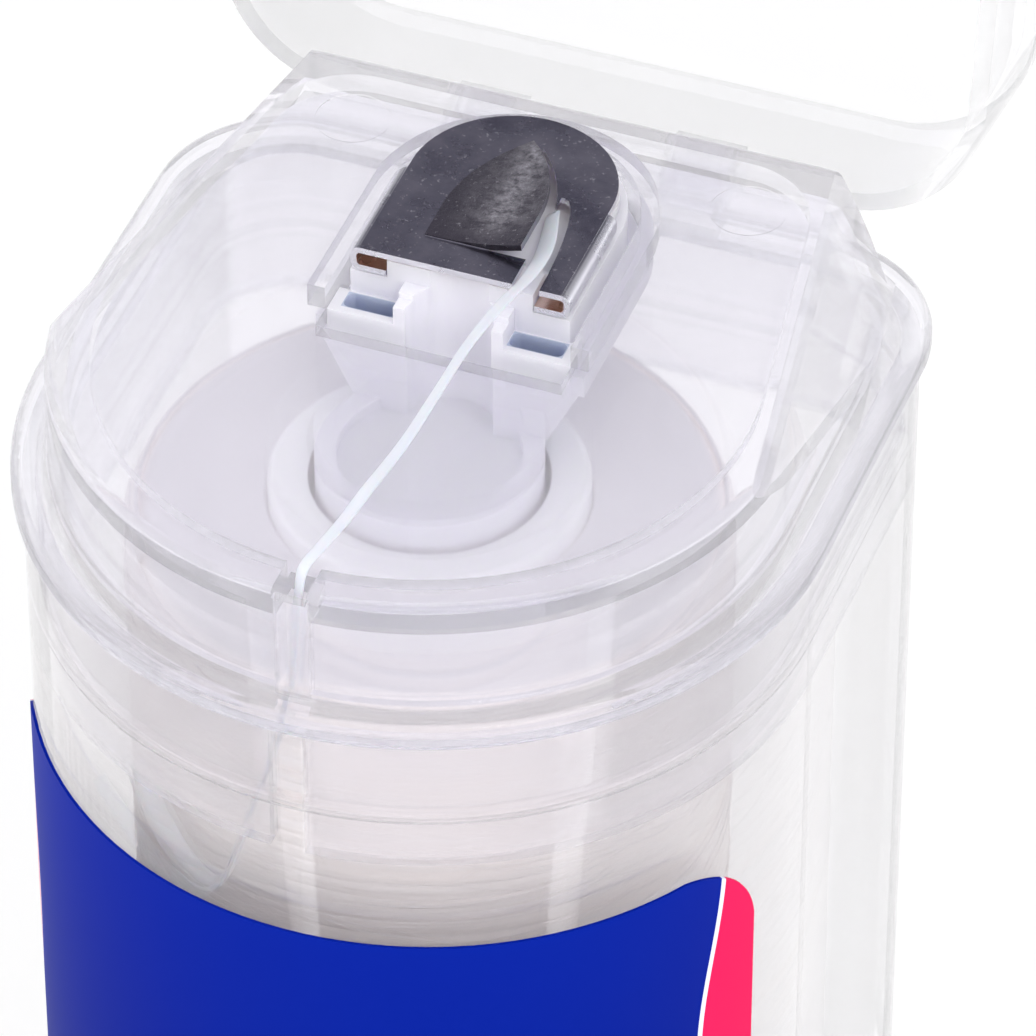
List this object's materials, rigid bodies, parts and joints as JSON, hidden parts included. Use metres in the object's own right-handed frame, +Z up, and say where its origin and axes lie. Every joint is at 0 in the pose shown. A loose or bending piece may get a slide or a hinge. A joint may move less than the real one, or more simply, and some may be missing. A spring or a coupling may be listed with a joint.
{
  "type": "dental floss dispenser",
  "caption": "Dental floss dispenser with a clear container, a hinged lid, a steel cutter on the closure and a bobbin of wound floss behind a blue front label.",
  "frame": {"origin": "on the bobbin axis, at the underside of the container", "axes": "+Z up along the bobbin axis, +Y towards the hinge at the back, +X to the right seen from the front"},
  "size_m": [0.0308, 0.0457, 0.0776],
  "materials": {
    "clear_plastic": "gloss",
    "milky_plastic": "gloss",
    "white_plastic": "satin",
    "steel": "satin",
    "floss": "matte",
    "label": "gloss"
  },
  "bodies": {
    "container": {"container_body": "clear_plastic", "closure": "milky_plastic", "floss_guide": "white_plastic", "cutter": "steel", "floss_strand": "floss", "front_label": "label"},
    "cap": {"lid": "clear_plastic"},
    "bobbin": {"bobbin_core": "white_plastic", "floss_package": "floss", "floss_outer_turns": "floss"}
  },
  "joints": [
    {"name": "lid_hinge", "type": "hinge", "parent": "container", "child": "cap", "pos_m": [0, 0.0173, 0.0445], "axis": [-1, 0, 0], "range_deg": [-100, 30]},
    {"name": "bobbin_spin", "type": "hinge", "parent": "container", "child": "bobbin", "pos_m": [0, 0, 0], "axis": [0, 0, 1], "continuous": true}
  ]
}
